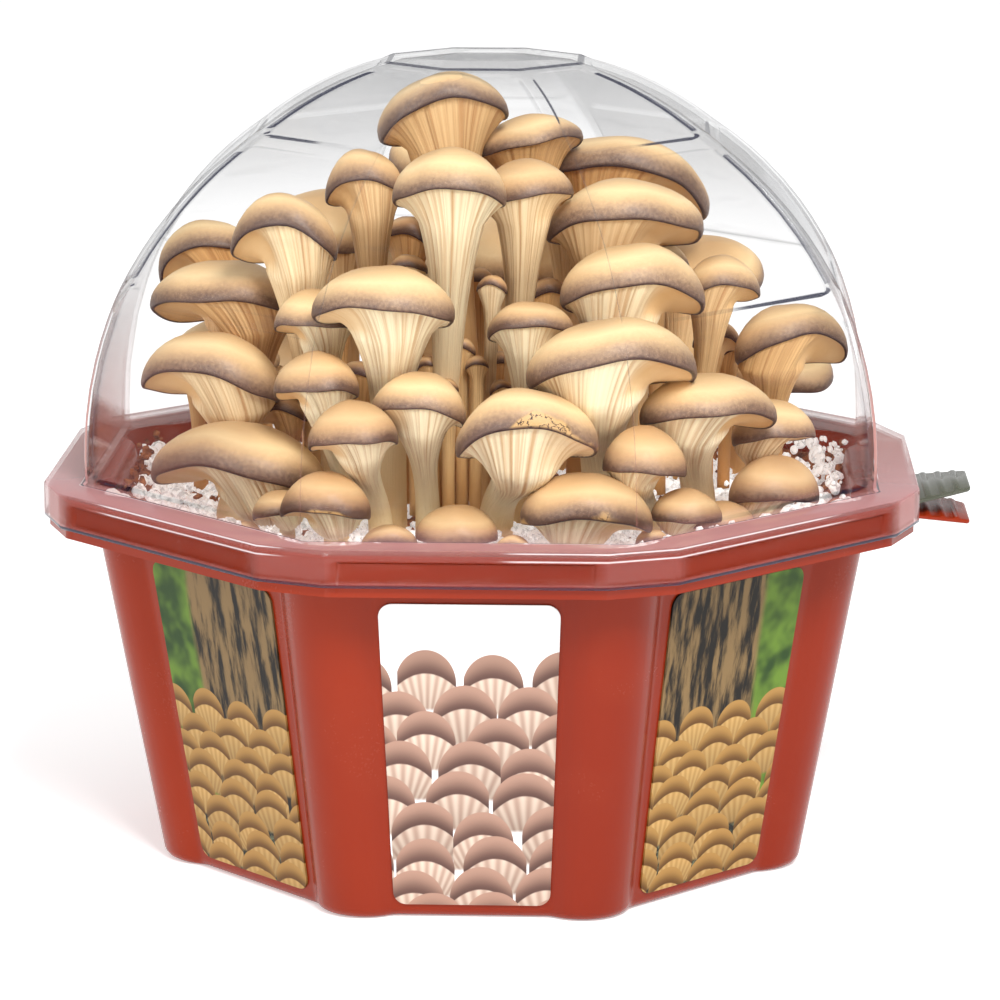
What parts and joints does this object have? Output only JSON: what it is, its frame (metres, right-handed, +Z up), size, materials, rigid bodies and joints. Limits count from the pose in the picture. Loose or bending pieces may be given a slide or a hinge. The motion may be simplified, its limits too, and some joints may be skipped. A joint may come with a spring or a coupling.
{
  "type": "oyster mushroom grow kit",
  "caption": "Eight-sided red tub of perlite and coir with a cluster of oyster mushrooms under a clear faceted dome lid with finger tabs.",
  "frame": {"origin": "middle of the tub's flat foot, on the surface that the kit stands on", "axes": "+Z up through the dome, -Y to the front label, +X through the finger tabs"},
  "size_m": [0.213, 0.2, 0.184],
  "materials": {
    "red_plastic": "smooth glossy moulded plastic, brick red",
    "clear_plastic": "clear thin glossy plastic with ribs",
    "printed_label": "printed satin sticker",
    "perlite_and_coir": "white perlite beads in brown coir fibre",
    "mushroom_flesh": "matt tan cap, cream gills and stem"
  },
  "bodies": {
    "root": {"tub": "red_plastic", "lid": "clear_plastic", "label_front": "printed_label", "label_left": "printed_label", "label_right": "printed_label", "growing_block": "perlite_and_coir", "mushroom_01": "mushroom_flesh", "mushroom_02": "mushroom_flesh", "mushroom_03": "mushroom_flesh", "mushroom_04": "mushroom_flesh", "mushroom_05": "mushroom_flesh", "mushroom_06": "mushroom_flesh", "mushroom_07": "mushroom_flesh", "mushroom_08": "mushroom_flesh", "mushroom_09": "mushroom_flesh", "mushroom_10": "mushroom_flesh", "mushroom_11": "mushroom_flesh", "mushroom_12": "mushroom_flesh", "mushroom_13": "mushroom_flesh", "mushroom_14": "mushroom_flesh", "mushroom_15": "mushroom_flesh", "mushroom_16": "mushroom_flesh", "mushroom_17": "mushroom_flesh", "mushroom_18": "mushroom_flesh", "mushroom_19": "mushroom_flesh", "mushroom_20": "mushroom_flesh", "mushroom_21": "mushroom_flesh", "mushroom_22": "mushroom_flesh", "mushroom_23": "mushroom_flesh", "mushroom_24": "mushroom_flesh", "mushroom_25": "mushroom_flesh", "mushroom_26": "mushroom_flesh", "mushroom_27": "mushroom_flesh", "mushroom_28": "mushroom_flesh", "mushroom_29": "mushroom_flesh", "mushroom_30": "mushroom_flesh", "mushroom_31": "mushroom_flesh", "mushroom_32": "mushroom_flesh", "mushroom_33": "mushroom_flesh", "mushroom_34": "mushroom_flesh", "mushroom_35": "mushroom_flesh", "mushroom_36": "mushroom_flesh", "mushroom_37": "mushroom_flesh", "mushroom_38": "mushroom_flesh", "mushroom_39": "mushroom_flesh", "mushroom_40": "mushroom_flesh", "mushroom_41": "mushroom_flesh", "mushroom_42": "mushroom_flesh", "mushroom_43": "mushroom_flesh", "mushroom_44": "mushroom_flesh", "mushroom_45": "mushroom_flesh", "mushroom_46": "mushroom_flesh", "mushroom_47": "mushroom_flesh", "mushroom_48": "mushroom_flesh", "mushroom_49": "mushroom_flesh"}
  },
  "joints": []
}
